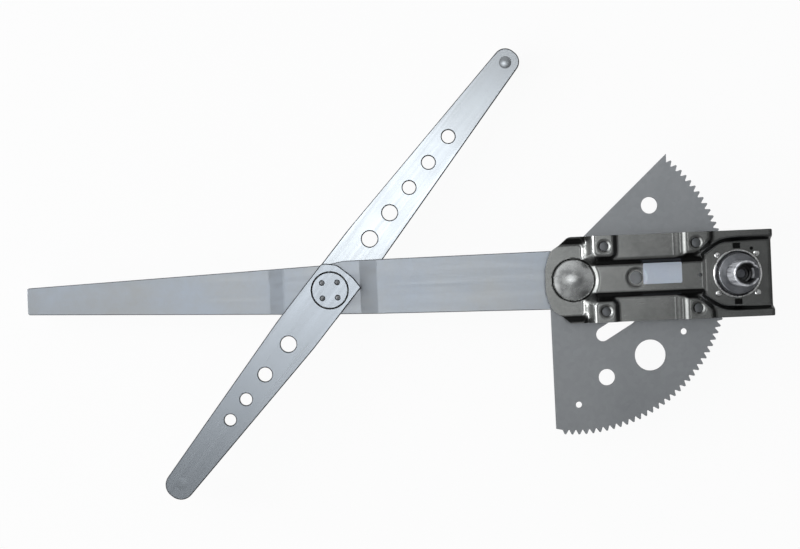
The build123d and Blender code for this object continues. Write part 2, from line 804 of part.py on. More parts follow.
def drum_rivets():
    """Four rivets; the right-hand pair also holds the pinion bracket."""
    rivets = []
    for side in (1, -1):
        for along in (-1, 1):
            x, y = rivet_spot(along, side)
            bottom = flange_bottom - (bracket_sheet if along > 0 else 0)
            rivet = disc(drum_rivet_radius, bottom, floor_top, spindle_x + x, y)
            crown = drum_rivet_head_radius - 0.6
            rivet += Pos(spindle_x + x, y, 0) * cone(
                drum_rivet_head_radius, crown, floor_top, drum_rivet_head_height
            )
            rivet += disc(drum_rivet_head_radius, bottom - drum_rivet_head_height, bottom, spindle_x + x, y)
            rivets.append(rivet)
    return Compound(children=rivets)


def crank_socket():
    """Slotted tube with a stepped bore, on a disc whose lug drives the spring."""
    socket = disc(socket_radius, clutch_disc_top, socket_height)
    socket = chamfer(socket.edges().group_by(Axis.Z)[-1], socket_edge_round)
    socket += disc(clutch_disc_radius, clutch_disc_bottom, clutch_disc_top)
    socket += arc_lug(
        clutch_lug_inner, clutch_lug_outer, clutch_lug_half_angle,
        driven_disc_top + disc_gap, clutch_disc_bottom, 0,
    )
    socket -= disc(socket_bore_radius, socket_bore_bottom, socket_height + 1)
    socket -= disc(socket_well_radius, socket_well_bottom, socket_bore_bottom)
    socket -= disc(crank_shaft_radius + fit_gap, clutch_disc_bottom - 1, socket_well_bottom + 1)
    cut_bottom = socket_height - socket_slot_length
    from_axis = (Align.MIN, Align.CENTER, Align.MIN)
    slot = Box(2 * socket_radius, socket_slot_width, 2 * socket_slot_length, align=from_axis)
    notch = Box(2 * socket_radius, socket_notch_width, 2 * socket_notch_depth, align=from_axis)
    socket -= Pos(0, 0, cut_bottom) * slot
    socket -= Pos(0, 0, socket_height - socket_notch_depth) * Rot(0, 0, socket_notch_angle) * notch
    return Pos(spindle_x, 0, 0) * socket


def crank_shaft():
    top = socket_well_bottom + shaft_top_stand
    bottom = bracket_bottom - stack_gap - circlip_thickness - shaft_end_stand
    shaft = disc(crank_shaft_radius, bottom, top, spindle_x)
    shaft = chamfer(shaft.edges().group_by(Axis.Z)[-1], socket_edge_round)
    groove = ring(2 * crank_shaft_radius, crank_shaft_radius - 0.6, 0, circlip_thickness + stack_gap)
    return shaft - Pos(spindle_x, 0, bottom + shaft_end_stand - stack_gap / 2) * groove


def circlip():
    """Open retaining ring in the groove at the shaft's rear end."""
    bottom = bracket_bottom - stack_gap - circlip_thickness
    clip = ring(circlip_radius, crank_shaft_radius - 0.5, bottom, bottom + circlip_thickness)
    from_axis = (Align.MIN, Align.CENTER, Align.CENTER)
    opening = Box(2 * circlip_radius, circlip_opening, 4 * circlip_thickness, align=from_axis)
    clip -= Pos(circlip_radius / 2, 0, bottom) * opening
    return Pos(spindle_x, 0, 0) * clip


def brake_spring():
    """Wrap spring of square wire that lies just inside the drum."""
    coil_radius = drum_radius - drum_sheet - spring_gap - spring_wire / 2
    start = driven_disc_bottom + spring_wire
    path = Helix(pitch=spring_pitch, height=spring_turns * spring_pitch, radius=coil_radius)
    section = Plane(origin=path @ 0, z_dir=path % 0) * Rectangle(spring_wire, spring_wire)
    coil = sweep(section, path=path, is_frenet=True)
    return Pos(spindle_x, 0, start) * coil


def pinion_bracket():
    """Z-shaped strap: foot under the drum flange, plate under the pinion."""
    leg_x = pinion_pitch_radius + pinion_addendum + leg_gap
    foot_top = flange_bottom
    foot_bottom = foot_top - bracket_sheet
    half_foot = bracket_foot_width / 2
    half_plate = bracket_plate_width / 2
    foot = face_of(
        [(leg_x, -half_foot), (leg_x + bracket_foot_length, -half_foot),
         (leg_x + bracket_foot_length, half_foot), (leg_x, half_foot)], 3
    )
    leg = Rectangle(bracket_sheet, bracket_plate_width, align=(Align.MIN, Align.CENTER))
    plate = face_of([(-half_plate, -half_plate), (leg_x + 2, -half_plate), (leg_x + 2, half_plate),
                     (-half_plate, half_plate)], [half_plate - 1, 0, 0, half_plate - 1])
    bracket = plate_between(foot, foot_bottom, foot_top)
    bracket += plate_between(Pos(leg_x, 0) * leg, bracket_bottom, foot_top)
    bracket += plate_between(plate, bracket_bottom, bracket_top)
    bracket -= disc(crank_shaft_radius + fit_gap + bearing_wall, bracket_bottom - 1, bracket_top + 1)
    for side in (1, -1):
        x, y = rivet_spot(1, side)
        bracket -= disc(drum_rivet_radius, foot_bottom - 1, foot_top + 1, x, y)
    return Pos(spindle_x, 0, 0) * bracket


def shaft_bearing():
    inner = crank_shaft_radius + fit_gap
    flange_top = bracket_top + bearing_flange
    bearing = ring(inner + bearing_wall, inner, bracket_bottom, bracket_top, spindle_x)
    return bearing + ring(bearing_flange_radius, inner, bracket_top, flange_top, spindle_x)


def main():
    os.makedirs("parts", exist_ok=True)
    save(base_plate(), "base_plate")
    save(pivot_pin(), "pivot_pin")
    front_washer, rear_washer = pivot_washers()
    save(front_washer, "pivot_washer_front")
    save(rear_washer, "pivot_washer_rear")
    save(sector_gear(), "sector_gear")
    save(lift_arm(), "lift_arm")
    save(sector_rivets(), "sector_rivets")
    save(equalizer_front_half(), "equalizer_front_half")
    save(equalizer_rear_half(), "equalizer_rear_half")
    save(centre_hub(), "centre_hub")
    front_bush, rear_bush = centre_bushes()
    save(front_bush, "centre_bush_front")
    save(rear_bush, "centre_bush_rear")
    upper_end = arm_end(centre_to_upper_roller, equalizer_angle)
    lower_end = arm_end(centre_to_lower_roller, equalizer_angle + 180)
    ends = {
        "lift": (lift_roller_x, 0.0, tip_part_top, tip_part_bottom),
        "upper": (*upper_end, rear_half_top, rear_half_bottom),
        "lower": (*lower_end, front_half_top, front_half_bottom),
    }
    for name, place in ends.items():
        roller, pin = roller_and_pin(*place)
        save(roller, f"{name}_roller")
        save(pin, f"{name}_roller_pin")
    save(brake_drum(), "brake_drum")
    save(drum_rivets(), "drum_rivets")
    save(crank_socket(), "crank_socket")
    save(crank_shaft(), "crank_shaft")
    save(circlip(), "shaft_circlip")
    save(pinion(), "pinion")
    save(brake_spring(), "brake_spring")
    save(pinion_bracket(), "pinion_bracket")
    save(shaft_bearing(), "shaft_bearing")


main()
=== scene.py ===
import math

import bmesh
import bpy
import numpy as np
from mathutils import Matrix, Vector


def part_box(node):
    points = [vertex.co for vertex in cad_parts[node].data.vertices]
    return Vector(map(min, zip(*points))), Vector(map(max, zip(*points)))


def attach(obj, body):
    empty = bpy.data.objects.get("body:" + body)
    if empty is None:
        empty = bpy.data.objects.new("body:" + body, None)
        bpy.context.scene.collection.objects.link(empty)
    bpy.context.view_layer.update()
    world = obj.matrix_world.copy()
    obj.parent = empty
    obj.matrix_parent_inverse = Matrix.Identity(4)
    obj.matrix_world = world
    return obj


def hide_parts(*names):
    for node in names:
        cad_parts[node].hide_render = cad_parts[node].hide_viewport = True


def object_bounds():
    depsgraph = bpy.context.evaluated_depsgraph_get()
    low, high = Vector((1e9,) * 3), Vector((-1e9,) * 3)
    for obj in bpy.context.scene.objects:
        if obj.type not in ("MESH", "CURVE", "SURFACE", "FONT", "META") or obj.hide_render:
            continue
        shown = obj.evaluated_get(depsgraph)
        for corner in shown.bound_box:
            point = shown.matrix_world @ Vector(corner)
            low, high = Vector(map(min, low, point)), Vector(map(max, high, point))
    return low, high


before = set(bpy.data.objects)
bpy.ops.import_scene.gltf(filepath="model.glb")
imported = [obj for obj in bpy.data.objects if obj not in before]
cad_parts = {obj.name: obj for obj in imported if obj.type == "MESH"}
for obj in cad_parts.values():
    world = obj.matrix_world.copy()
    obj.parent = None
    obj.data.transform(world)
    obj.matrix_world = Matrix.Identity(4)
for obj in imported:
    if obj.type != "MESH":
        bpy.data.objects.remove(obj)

cadLow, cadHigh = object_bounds()
mm = 0.001


# Middle of a CAD node in millimetres
def middleOf(node):
    low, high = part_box(node)
    return [(a + b) / 2 / mm for a, b in zip(low, high)]


# Lowest and highest z of a CAD node in millimetres
def levelsOf(node):
    low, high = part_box(node)
    return low.z / mm, high.z / mm


pivotX = middleOf("pivot_pin")[0]
spindleX = middleOf("crank_shaft")[0]
hubX = middleOf("centre_hub")[0]


# Camera: straight above the middle of the object, turned a little
camera = {
    "x": -0.1962, "y": 0.01025, "height": 1.18, "turn": -2.4,
    "lens": 68.1, "sensor": 36.0, "nearest": 0.01,
}

lens = bpy.data.cameras.new("camera")
lens.lens = camera["lens"]
lens.sensor_width = camera["sensor"]
lens.clip_start = camera["nearest"]
cameraObject = bpy.data.objects.new("camera", lens)
cameraObject.location = (camera["x"], camera["y"], camera["height"])
cameraObject.rotation_euler = (0, 0, math.radians(camera["turn"]))
bpy.context.scene.collection.objects.link(cameraObject)
bpy.context.scene.camera = cameraObject
print("camera set")


# Corner numbers of a grid's quads; a closed direction joins its last line to its first
def gridQuads(rows, columns, closedRows=False, closedColumns=False):
    r = np.arange(rows if closedRows else rows - 1)
    c = np.arange(columns if closedColumns else columns - 1)
    r, c = np.meshgrid(r, c, indexing="ij")
    nextR = (r + 1) % rows
    nextC = (c + 1) % columns
    corners = [r * columns + c, nextR * columns + c, nextR * columns + nextC, r * columns + nextC]
    return np.stack(corners, -1).reshape(-1, 4)


# Points in millimetres and faces become an object in metres; doubles are merged and faces turned outward
def meshPiece(name, points, faces, sharpAngle=35, merge=0.002):
    mesh = bpy.data.meshes.new(name)
    mesh.from_pydata((np.asarray(points).reshape(-1, 3) * mm).tolist(), [], faces.tolist())
    work = bmesh.new()
    work.from_mesh(mesh)
    bmesh.ops.remove_doubles(work, verts=work.verts, dist=merge * mm)
    bmesh.ops.dissolve_degenerate(work, edges=work.edges, dist=merge * mm / 2)
    bmesh.ops.recalc_face_normals(work, faces=work.faces)
    work.to_mesh(mesh)
    work.free()
    piece = bpy.data.objects.new(name, mesh)
    bpy.context.scene.collection.objects.link(piece)
    smoothed(piece, sharpAngle)
    return piece


def smoothed(piece, sharpAngle):
    mesh = piece.data
    mesh.shade_smooth()
    mesh.set_sharp_from_angle(angle=math.radians(sharpAngle))


# Each corner of a profile becomes a short parabola between a point before it and a point after it
def softened(profile, size, steps, mostOfSide=0.45):
    p = np.array(profile, float)

    def towards(other):
        gap = other - p
        length = np.maximum(np.linalg.norm(gap, axis=1, keepdims=True), 1e-9)
        return p + gap * np.minimum(size / length, mostOfSide)

    a = towards(np.roll(p, 1, 0))[:, None]
    b = towards(np.roll(p, -1, 0))[:, None]
    t = np.linspace(0, 1, steps + 1)[None, :, None]
    curve = (1 - t) ** 2 * a + 2 * t * (1 - t) * p[:, None] + t**2 * b
    curve[0] = p[0]
    curve[-1] = p[-1]
    return curve.reshape(-1, 2)


# A profile of (radius, height) carried round the vertical line at x, y
def turned(name, profile, x, y, closed=False, steps=96, sharpAngle=40):
    profile = np.asarray(profile, float)
    angle = np.linspace(0, 2 * math.pi, steps, endpoint=False)[:, None]
    points = np.stack([
        x + profile[:, 0] * np.cos(angle),
        y + profile[:, 0] * np.sin(angle),
        np.broadcast_to(profile[:, 1], (steps, len(profile))),
    ], -1)
    return meshPiece(name, points, gridQuads(steps, len(profile), True, closed), sharpAngle)


# A copy of a CAD node's mesh with its doubles merged, its flat faces joined and its edges eased
def easedCopy(node, name, edge, limited, segments=2, sharpAngle=30, merge=0.001, flatAngle=0.5):
    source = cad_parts[node]
    mesh = source.data.copy()
    mesh.name = name
    mesh.materials.clear()
    work = bmesh.new()
    work.from_mesh(mesh)
    bmesh.ops.remove_doubles(work, verts=work.verts, dist=merge * mm)
    bmesh.ops.dissolve_limit(work, angle_limit=math.radians(flatAngle), verts=work.verts, edges=work.edges)
    work.to_mesh(mesh)
    work.free()
    piece = bpy.data.objects.new(name, mesh)
    bpy.context.scene.collection.objects.link(piece)
    smoothed(piece, sharpAngle)
    if edge:
        bevel = piece.modifiers.new("easedEdge", "BEVEL")
        bevel.width = edge * mm
        bevel.segments = segments
        bevel.limit_method = "ANGLE"
        bevel.angle_limit = math.radians(sharpAngle)
        bevel.harden_normals = True
        bevel.use_clamp_overlap = limited
    return piece


# The piece gets its material, moves with its body and stands for CAD nodes
def fitted(piece, body, slot, material, *nodes):
    piece.data.materials.clear()
    piece.data.materials.append(material)
    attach(piece, body)
    if nodes:
        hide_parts(*nodes)
    return piece


# Materials: every pattern reads Object coordinates. Noise mostly lies between the two middle values.
middle = (0.35, 0.65)
bumpDistance = 0.0002


def newMaterial(name, metallic):
    material = bpy.data.materials.new(name)
    material.use_nodes = True
    shader = material.node_tree.nodes["Principled BSDF"]
    shader.inputs["Metallic"].default_value = metallic
    return material, material.node_tree, shader


def coordinates(tree, scale=(1, 1, 1), turn=0, shift=(0, 0, 0)):
    vector = tree.nodes.new("ShaderNodeTexCoord").outputs["Object"]
    turnedFirst = ((0, 0, math.radians(turn)), (1, 1, 1), shift)
    scaledNext = ((0, 0, 0), scale, (0, 0, 0))
    for rotation, size, move in (turnedFirst, scaledNext):
        mapping = tree.nodes.new("ShaderNodeMapping")
        mapping.inputs["Rotation"].default_value = rotation
        mapping.inputs["Scale"].default_value = size
        mapping.inputs["Location"].default_value = move
        tree.links.new(vector, mapping.inputs["Vector"])
        vector = mapping.outputs["Vector"]
    return vector


def noise(tree, vector, scale, detail=3, roughness=0.55, distortion=0):
    node = tree.nodes.new("ShaderNodeTexNoise")
    node.inputs["Scale"].default_value = scale
    node.inputs["Detail"].default_value = detail
    node.inputs["Roughness"].default_value = roughness
    node.inputs["Distortion"].default_value = distortion
    tree.links.new(vector, node.inputs["Vector"])
    return node.outputs["Fac"]


def cells(tree, vector, scale):
    node = tree.nodes.new("ShaderNodeTexVoronoi")
    node.inputs["Scale"].default_value = scale
    tree.links.new(vector, node.inputs["Vector"])
    split = tree.nodes.new("ShaderNodeSeparateColor")
    tree.links.new(node.outputs["Color"], split.inputs["Color"])
    return split.outputs["Red"]


def spread(tree, value, low, high, toLow, toHigh):
    node = tree.nodes.new("ShaderNodeMapRange")
    for key, number in (("From Min", low), ("From Max", high), ("To Min", toLow), ("To Max", toHigh)):
        node.inputs[key].default_value = number
    tree.links.new(value, node.inputs["Value"])
    return node.outputs["Result"]


def combined(tree, first, second, operation="ADD"):
    node = tree.nodes.new("ShaderNodeMath")
    node.operation = operation
    for socket, value in zip(node.inputs, (first, second)):
        if isinstance(value, (int, float)):
            socket.default_value = value
        else:
            tree.links.new(value, socket)
    return node.outputs["Value"]


def colourBetween(tree, factor, dark, light):
    node = tree.nodes.new("ShaderNodeMix")
    node.data_type = "RGBA"
    node.inputs["A"].default_value = (*dark, 1)
    node.inputs["B"].default_value = (*light, 1)
    tree.links.new(factor, node.inputs["Factor"])
    return node.outputs["Result"]


def bumped(tree, shader, height, strength, distance):
    node = tree.nodes.new("ShaderNodeBump")
    node.inputs["Strength"].default_value = strength
    node.inputs["Distance"].default_value = distance
    tree.links.new(height, node.inputs["Height"])
    tree.links.new(node.outputs["Normal"], shader.inputs["Normal"])


# One component of a vector
def along(tree, vector, axis):
    split = tree.nodes.new("ShaderNodeSeparateXYZ")
    tree.links.new(vector, split.inputs["Vector"])
    return split.outputs[axis]


# Changes from one level to another with the surface's normal along one axis,
# to either side or to the positive side only
def facing(tree, axis, low, high, toLow, toHigh, oneSide=False):
    surface = tree.nodes.new("ShaderNodeNewGeometry")
    share = along(tree, surface.outputs["True Normal"], axis)
    if not oneSide:
        share = combined(tree, share, 0, "ABSOLUTE")
    return spread(tree, share, low, high, toLow, toHigh)


def shaded(tree, colour, share):
    node = tree.nodes.new("ShaderNodeMix")
    node.data_type = "RGBA"
    node.blend_type = "MULTIPLY"
    node.inputs["Factor"].default_value = 1
    tree.links.new(colour, node.inputs["A"])
    tree.links.new(share, node.inputs["B"])
    return node.outputs["Result"]


# Sheet steel: soft cloudy patches, small zinc crystals and fine rolling lines along one direction. Optional
# painted light: shade on steep faces and eased edges, a falloff along one axis, and shade on side walls.
def sheetSteel(name, look):
    material, tree, shader = newMaterial(name, look.get("metallic", 0.9))
    plain = coordinates(tree)
    lengthwise = coordinates(tree, scale=(look["rollingStretch"], 1, 1), turn=-look["rollingAngle"])
    cloud = noise(tree, plain, look["cloudScale"], 4, 0.6)
    crystal = cells(tree, plain, look["crystalScale"])
    rolling = noise(tree, lengthwise, look["rollingScale"], 5, 0.7)
    fine = noise(tree, plain, look["fineScale"], 2)
    tone = combined(tree, spread(tree, cloud, 0.3, 0.7, 0, 1), look["cloudShare"], "MULTIPLY")
    tone = combined(tree, tone, combined(tree, crystal, look["crystalShare"], "MULTIPLY"))
    tone = combined(tree, tone, combined(tree, rolling, look["rollingShare"], "MULTIPLY"))
    colour = colourBetween(tree, tone, look["dark"], look["light"])
    # Painted shade: faces that lean away from upright are darkened, which draws dark lines along eased edges,
    # darkens the arm's joggles and darkens the plate's steep walls.
    if "paintedEdgeShade" in look:
        colour = shaded(tree, colour, facing(tree, "Z", *look["paintedEdgeShade"], 1))
    # Painted light falloff: the colour is scaled along one object axis, lighter where more light falls.
    if "paintedFalloff" in look:
        axis, *levels = look["paintedFalloff"]
        colour = shaded(tree, colour, spread(tree, along(tree, plain, axis), *levels))
    # Painted shade: walls facing ±Y are darkened almost to black, and walls facing +X are darkened too.
    if "paintedSideWallShade" in look:
        colour = shaded(tree, colour, facing(tree, "Y", *look["paintedSideWallShade"]))
        colour = shaded(tree, colour, facing(tree, "X", *look["paintedRightWallShade"], oneSide=True))
    tree.links.new(colour, shader.inputs["Base Color"])
    low, high = look["roughness"]
    shine = combined(tree, combined(tree, cloud, 0.5, "MULTIPLY"), combined(tree, rolling, 0.5, "MULTIPLY"))
    tree.links.new(spread(tree, shine, *middle, low, high), shader.inputs["Roughness"])
    height = combined(tree, combined(tree, rolling, 0.7, "MULTIPLY"), combined(tree, fine, 0.3, "MULTIPLY"))
    bumped(tree, shader, height, look["bump"], bumpDistance)
    return material


# 0 close to upright lines through the given points in millimetres, 1 away from them
def awayFrom(tree, spots, near, far):
    share = None
    for x, y in spots:
        place = coordinates(tree, scale=(1, 1, 0), shift=(-x * mm, -y * mm, 0))
        gap = tree.nodes.new("ShaderNodeVectorMath")
        gap.operation = "LENGTH"
        tree.links.new(place, gap.inputs[0])
        one = spread(tree, gap.outputs["Value"], near * mm, far * mm, 0, 1)
        share = one if share is None else combined(tree, share, one, "MULTIPLY")
    return share


# Turned or formed steel: patches, specks and fine scratches, with optional painted shade inside or outside a
# ring and round given holes.
def formedSteel(name, look):
    material, tree, shader = newMaterial(name, look.get("metallic", 1.0))
    plain = coordinates(tree, scale=look.get("stretch", (1, 1, 1)))
    cloud = noise(tree, plain, look["cloudScale"], 5, 0.65)
    fine = noise(tree, plain, look["fineScale"], 3)
    tone = combined(tree, combined(tree, cloud, 0.75, "MULTIPLY"), combined(tree, fine, 0.25, "MULTIPLY"))
    tone = spread(tree, tone, 0.36, 0.64, 0, 1)
    colour = colourBetween(tree, tone, look["dark"], look["light"])
    # Painted shade inside or outside a ring round given points: the drum flange under the plate, the socket's
    # bore.
    if "ring" in look:
        outward = awayFrom(tree, *look["ring"])
        colour = shaded(tree, colour, spread(tree, outward, 0, 1, *look["ringPaintedShade"]))
    # Painted shade: colour darkened near given holes.
    if "paintedHoleShade" in look:
        unshadedShare = awayFrom(tree, *look["paintedHoleShade"])
        colour = shaded(tree, colour, spread(tree, unshadedShare, 0, 1, *look["paintedHoleShadeLevels"]))
    tree.links.new(colour, shader.inputs["Base Color"])
    low, high = look["roughness"]
    tree.links.new(spread(tree, cloud, *middle, low, high), shader.inputs["Roughness"])
    bumped(tree, shader, fine, look["bump"], bumpDistance)
    return material


# Moulded nylon: milky, with faint flow marks
moulding = {
    "flowScale": 90, "flowDistortion": 0.6, "fineScale": 1500, "bump": 0.15, "milk": 0.1, "milkDepth": 0.002,
}


def mouldedNylon(name, look):
    material, tree, shader = newMaterial(name, 0.0)
    plain = coordinates(tree)
    cloud = noise(tree, plain, moulding["flowScale"], 3, 0.5, moulding["flowDistortion"])
    fine = noise(tree, plain, moulding["fineScale"], 2)
    tree.links.new(colourBetween(tree, cloud, look["dark"], look["light"]), shader.inputs["Base Color"])
    tree.links.new(spread(tree, fine, 0.3, 0.7, *look["roughness"]), shader.inputs["Roughness"])
    shader.inputs["Subsurface Weight"].default_value = moulding["milk"]
    shader.inputs["Subsurface Scale"].default_value = moulding["milkDepth"]
    bumped(tree, shader, fine, moulding["bump"], bumpDistance / 2)
    return material


armSteel = sheetSteel("armSteel", {
    "dark": (0.47, 0.475, 0.465), "light": (0.54, 0.6, 0.68), "roughness": (0.3, 0.42),
    "cloudScale": 13, "cloudShare": 0.8, "crystalScale": 420, "crystalShare": 0.1,
    "rollingScale": 260, "rollingStretch": 0.04, "rollingAngle": 0, "rollingShare": 0.2,
    "fineScale": 2600, "bump": 0.12, "paintedEdgeShade": (0.93, 0.99, 0.3),
})
# Painted light: the sector grows lighter towards +Y.
sectorSteel = sheetSteel("sectorSteel", {
    "dark": (0.33, 0.345, 0.36), "light": (0.44, 0.455, 0.47), "roughness": (0.36, 0.48),
    "cloudScale": 11, "cloudShare": 0.6, "crystalScale": 300, "crystalShare": 0.22,
    "rollingScale": 220, "rollingStretch": 0.08, "rollingAngle": 0, "rollingShare": 0.18,
    "fineScale": 2600, "bump": 0.14, "paintedEdgeShade": (0.93, 0.99, 0.3), "paintedFalloff": ("Y", -0.12, 0.1, 0.88, 1.06),
})
# Painted light: the front half darkens towards its far end at -Y.
equalizerLook = {
    "dark": (0.35, 0.385, 0.425), "light": (0.52, 0.56, 0.6), "roughness": (0.2, 0.3),
    "cloudScale": 12, "cloudShare": 0.35, "crystalScale": 600, "crystalShare": 0.06,
    "rollingScale": 330, "rollingStretch": 0.02, "rollingAngle": 50.1, "rollingShare": 0.5,
    "fineScale": 3000, "bump": 0.04, "paintedEdgeShade": (0.93, 0.995, 0.08), "paintedFalloff": ("Y", -0.15, -0.09, 0.8, 1),
}
equalizerSteel = sheetSteel("equalizerSteel", equalizerLook)
# A lighter copy of the equalizer steel for the rear half, its roller pin and pin mark: a painted highlight,
# fading towards the far end at +Y.
paintedHighlightEqualizerSteel = sheetSteel("paintedHighlightEqualizerSteel", {
    **equalizerLook, "dark": (0.52, 0.56, 0.6), "light": (0.72, 0.76, 0.79),
    "paintedFalloff": ("Y", 0.1, 0.17, 1, 0.82),
})
# The plate carries painted shade on steep walls and on walls facing ±Y and +X, and a painted falloff that
# darkens it towards +X.
plateSteel = sheetSteel("plateSteel", {
    "dark": (0.165, 0.17, 0.165), "light": (0.33, 0.335, 0.325), "roughness": (0.18, 0.28),
    "cloudScale": 30, "cloudShare": 0.6, "crystalScale": 500, "crystalShare": 0.12,
    "rollingScale": 260, "rollingStretch": 0.06, "rollingAngle": 0, "rollingShare": 0.28,
    "fineScale": 2200, "bump": 0.12, "metallic": 0.85, "paintedEdgeShade": (0.45, 0.86, 0.5),
    "paintedSideWallShade": (0.45, 0.8, 1, 0.1), "paintedRightWallShade": (0.25, 0.6, 1, 0.2), "paintedFalloff": ("X", -0.04, 0.08, 1, 0.56),
})
pinSteel = formedSteel("pinSteel", {
    "dark": (0.46, 0.47, 0.47), "light": (0.76, 0.77, 0.76), "roughness": (0.2, 0.34),
    "cloudScale": 120, "fineScale": 1500, "bump": 0.08,
})
# Painted shade: the drum is darkened almost to black outside the collar, where its flange lies under the
# plate, and at the two notches and the small hole.
drumSteel = formedSteel("drumSteel", {
    "dark": (0.08, 0.084, 0.09), "light": (0.22, 0.225, 0.24), "roughness": (0.12, 0.22),
    "cloudScale": 80, "fineScale": 1600, "bump": 0.1, "metallic": 0.7,
    "ring": (((spindleX, 0),), 16.2, 16.9), "ringPaintedShade": (1, 0.06),
    "paintedHoleShade": (((spindleX, 22), (spindleX, -22), (spindleX + 11.6, 19.4)), 3.4, 4.4),
    "paintedHoleShadeLevels": (0.06, 1),
})
# Painted shade: the socket's colour is darkened inside its bore.
socketChrome = formedSteel("socketChrome", {
    "dark": (0.16, 0.165, 0.18), "light": (0.72, 0.73, 0.76), "roughness": (0.14, 0.26),
    "cloudScale": 260, "fineScale": 1800, "bump": 0.08, "stretch": (1, 1, 0.06), "metallic": 0.4,
    "ring": (((spindleX, 0),), 8.1, 8.8), "ringPaintedShade": (0.1, 1),
})
rivetSteel = formedSteel("rivetSteel", {
    "dark": (0.4, 0.4, 0.39), "light": (0.7, 0.7, 0.69), "roughness": (0.22, 0.36),
    "cloudScale": 260, "fineScale": 2200, "bump": 0.2,
})
# A lighter copy of the rivet steel for the drum rivets' domed heads: painted glints.
paintedGlintRivetSteel = formedSteel("paintedGlintRivetSteel", {
    "dark": (0.6, 0.6, 0.59), "light": (0.85, 0.85, 0.84), "roughness": (0.12, 0.24),
    "cloudScale": 300, "fineScale": 2200, "bump": 0.15,
})
# Near-white steel for the plate's drawn collar rim: a painted highlight.
paintedHighlightRimSteel = formedSteel("paintedHighlightRimSteel", {
    "dark": (0.5, 0.5, 0.49), "light": (0.95, 0.95, 0.94), "roughness": (0.2, 0.36),
    "cloudScale": 200, "fineScale": 1800, "bump": 0.2,
})
washerSteel = formedSteel("washerSteel", {
    "dark": (0.28, 0.29, 0.3), "light": (0.45, 0.46, 0.47), "roughness": (0.3, 0.45),
    "cloudScale": 110, "fineScale": 1800, "bump": 0.15,
})
springSteel = formedSteel("springSteel", {
    "dark": (0.07, 0.072, 0.08), "light": (0.17, 0.175, 0.19), "roughness": (0.28, 0.4),
    "cloudScale": 140, "fineScale": 1800, "bump": 0.12,
})
pinionSteel = formedSteel("pinionSteel", {
    "dark": (0.16, 0.16, 0.165), "light": (0.32, 0.32, 0.325), "roughness": (0.34, 0.48),
    "cloudScale": 120, "fineScale": 1400, "bump": 0.3,
})
bearingBronze = formedSteel("bearingBronze", {
    "dark": (0.3, 0.17, 0.07), "light": (0.52, 0.33, 0.15), "roughness": (0.35, 0.5),
    "cloudScale": 150, "fineScale": 2400, "bump": 0.3,
})
bushNylon = mouldedNylon("bushNylon", {
    "dark": (0.62, 0.6, 0.53), "light": (0.75, 0.73, 0.66), "roughness": (0.42, 0.55),
})
rollerNylon = mouldedNylon("rollerNylon", {
    "dark": (0.56, 0.55, 0.5), "light": (0.68, 0.67, 0.62), "roughness": (0.36, 0.5),
})
labelFilm = mouldedNylon("labelFilm", {
    "dark": (0.52, 0.55, 0.64), "light": (0.6, 0.63, 0.71), "roughness": (0.25, 0.35),
})
print("materials made")


# The smaller of two surfaces, or the larger, with a rounded change from one to the other
def softMin(a, b, size):
    share = np.maximum(size - np.abs(a - b), 0) / size
    return np.minimum(a, b) - share * share * size / 4


def softMax(a, b, size):
    return -softMin(-a, -b, size)


# Distance outside a rectangle with rounded corners; negative inside
def rectDistance(x, y, left, right, low, high, corner):
    dx = np.maximum(left - x, x - right) + corner
    dy = np.maximum(low - y, y - high) + corner
    outside = np.hypot(np.maximum(dx, 0), np.maximum(dy, 0))
    return outside + np.minimum(np.maximum(dx, dy), 0) - corner


basePlate = {
    "sheet": 2.0, "wallLean": 24.0, "bend": 4.4, "foot": 3.2, "floorBend": 2.4, "floorFoot": 1.6,
    "lip": 5.0, "valley": 10.0, "strip": 12.0, "floor": 11.0, "ring": 14.0, "recess": 15.6,
    "halfWidth": 34.0, "leftEnd": -22.2, "rightEnd": 156.02, "farLeft": -80, "farOut": 90,
    "outline": (
        (-22.2, 8.0), (-22.0, 9.6), (-21.4, 12.2), (-20.2, 16.6), (-18.4, 21.2), (-16.6, 23.9), (-13.6, 26.0),
        (-10.4, 28.0), (-8.6, 29.7), (-5.2, 33.1), (-3.6, 33.8), (-2.0, 34.0), (155.2, 34.0), (156.02, 33.2),
    ),
    "stripStart": 11.8, "stripHalf": 11.2, "floorHalf": 26.0, "flareStart": 98.0, "flareEnd": 114.6,
    "flareRound": 30, "flareLead": 4, "flareBlend": 12, "stepToFloor": 102.5, "stepSteep": 2,
    "ringHalf": 28.5, "ringRight": 7.4, "ringCorner": 3.5, "ringRadius": 17.8, "ringBlend": 1.5,
    "recessRadius": 16.6, "recessSteep": 3, "recessBend": 0.8,
    "valleyLeft": 8.8, "valleyRight": 11.0, "valleyInner": 5, "valleyCorner": 1.0,
    "leftPad": (14.6, 31.0), "leftPadCorner": 4, "padInner": 17.4,
    "rightPad": (60, 106.4), "rightPadCorner": 5, "rightPadFrom": 70,
    "padCut": (6, 4), "padCutAcross": (0.62, 0.78), "padCutShift": 0.6, "padCutBlend": 3,
    "ramp": ((60, -12), (76, -10), (79.7, -5), (82.1, -3), (84.1, -3), (87.6, 0), (200, 0)),
    "rampSoft": 0.9, "rampSamples": 7, "nothing": -99,
    "dishX": 49.2, "dishRadius": 8.0, "dishDepth": 1.2, "dishHole": 5.0, "dishBend": 0.6, "dishMargin": 2,
    "dishSlope": 0.9, "bolts": ((23.4, 25.5), (95.4, 25.5)), "boltRadius": 3.5, "boltDish": 1.7,
    "boltExtra": 0.4, "boltReach": 7, "boltBend": 0.7, "endBend": (2.6, 1.7),
    "locatingX": 99.6, "locatingRadius": 1.5,
    "drumHole": 17.3, "notch": (6.0, 4.4), "notchOffset": 22.0,
    "smallHole": (1.4, 59.0, 22.6), "gridStep": 0.62, "endReach": 2.4, "endColumns": 9, "lastStep": 0.3,
    "sharpAngle": 42,
}


